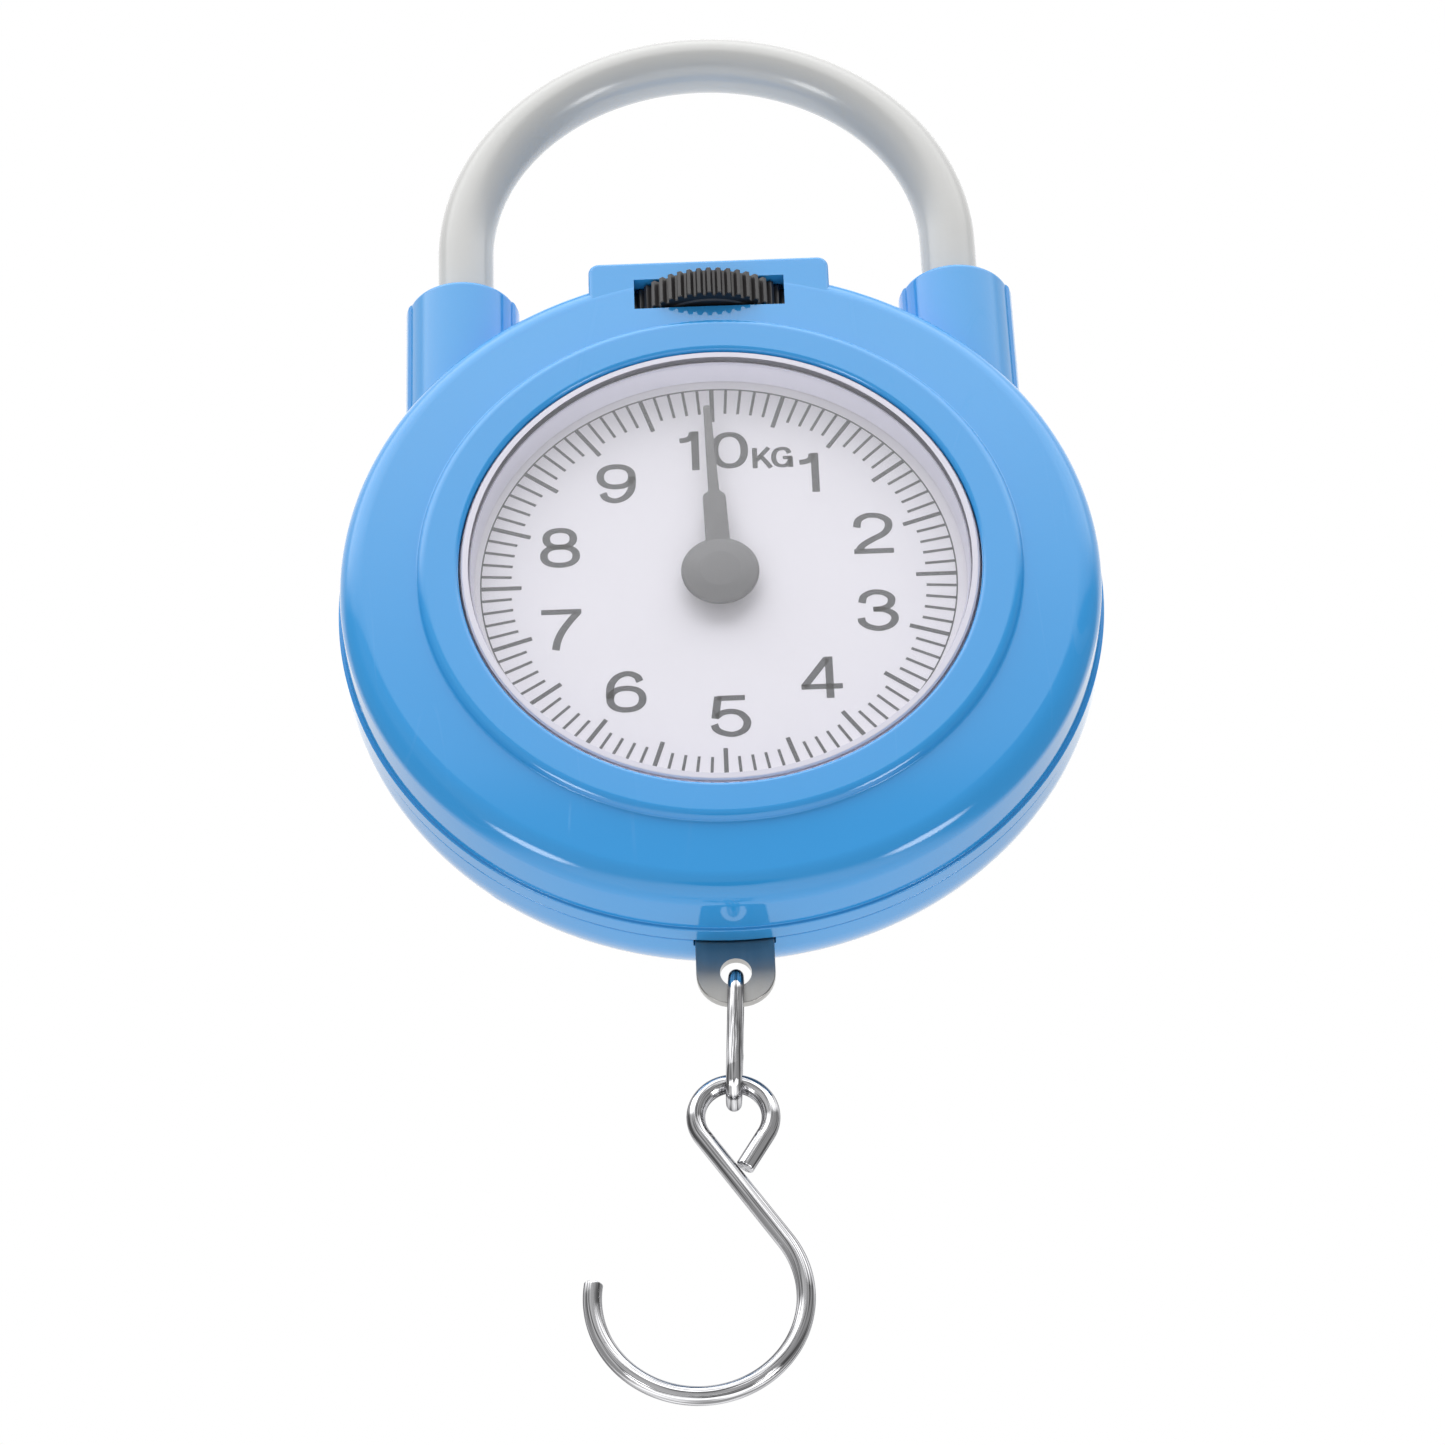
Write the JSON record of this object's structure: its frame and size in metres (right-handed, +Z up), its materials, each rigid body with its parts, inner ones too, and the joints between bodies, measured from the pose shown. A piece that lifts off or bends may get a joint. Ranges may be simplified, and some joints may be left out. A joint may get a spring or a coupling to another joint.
{
  "type": "hanging spring scale",
  "caption": "Hand-held hanging dial scale: round case with lens and pointer, arched handle, zero wheel, pull plate, link and open wire hook.",
  "frame": {"origin": "inside top of the handle arch, on the tube's lower side in the case's parting plane, where the scale hangs", "axes": "+Z up along the hanging direction, +Y out of the back of the case, -Y towards the reader of the dial, +X to the reader's right"},
  "size_m": [0.0906, 0.0243, 0.1901],
  "materials": {
    "blue_abs": "glossy moulded ABS",
    "clear_lens": "clear polished acrylic",
    "printed_dial": "satin printed card",
    "pointer_plastic": "satin moulded",
    "bright_steel": "turned",
    "brass": "stamped and hobbed",
    "spring_steel": "drawn wire",
    "sheet_steel": "zinc plated sheet",
    "zinc_screws": "zinc plated",
    "nylon": "natural nylon",
    "pull_plate_steel": "satin rolled sheet",
    "black_plastic": "satin moulded",
    "grey_tube": "smooth flexible tube",
    "wire_steel": "bright plated wire"
  },
  "bodies": {
    "case": {"front_shell": "blue_abs", "back_shell": "blue_abs", "lens": "clear_lens", "dial_plate": "printed_dial", "front_bush": "brass", "rear_bush": "brass", "chassis_plate": "sheet_steel", "chassis_screws": "zinc_screws", "bridge": "sheet_steel", "bridge_pillars": "bright_steel", "bridge_screws": "zinc_screws", "rack_guide": "nylon", "plate_guide": "nylon", "wheel_washer": "zinc_screws", "handle_tube": "grey_tube", "handle_core": "spring_steel", "handle_ferrules": "sheet_steel", "case_screws": "zinc_screws"},
    "puller": {"pull_plate": "pull_plate_steel", "rack": "brass", "rack_rivets": "zinc_screws", "spring_left": "spring_steel", "spring_right": "spring_steel"},
    "pointer_group": {"pointer": "pointer_plastic", "pointer_shaft": "bright_steel", "pinion": "brass", "shaft_clip": "spring_steel"},
    "wheel": {"zero_wheel": "black_plastic"},
    "hanger": {"yoke": "sheet_steel", "zero_screw": "zinc_screws"},
    "link_body": {"link": "wire_steel"},
    "hook_body": {"hook": "wire_steel"}
  },
  "joints": [
    {"name": "pull_slide", "type": "slide", "parent": "case", "child": "puller", "axis": [0, 0, -1], "range_m": [0, 0.0225], "stiffness_N_per_m": 4459, "springref_m": -0.001, "deforming": ["spring_left", "spring_right"]},
    {"name": "pointer_spin", "type": "hinge", "parent": "case", "child": "pointer_group", "pos_m": [0, -0.007, -0.08135], "axis": [0, 1, 0], "range_deg": [0, 370]},
    {"name": "zero_turn", "type": "hinge", "parent": "case", "child": "wheel", "pos_m": [0, -0.0013, -0.04135], "axis": [0, 0, 1], "range_deg": [-360, 360]},
    {"name": "hanger_lift", "type": "slide", "parent": "case", "child": "hanger", "axis": [0, 0, 1], "range_m": [-0.0007, 0.0007]},
    {"name": "link_swing", "type": "hinge", "parent": "puller", "child": "link_body", "pos_m": [0, 0.0006, -0.13065], "axis": [0, 1, 0], "range_deg": [-60, 60]},
    {"name": "hook_swing", "type": "hinge", "parent": "link_body", "child": "hook_body", "pos_m": [-0.00093, 0.0006, -0.1446], "axis": [1, 0, 0], "range_deg": [-75, 75]}
  ],
  "couplings": [
    {"joint": "pointer_spin", "follows": "pull_slide", "rad_per_m": 285.71},
    {"joint": "hanger_lift", "follows": "zero_turn", "m_per_rad": -0.00011141}
  ]
}
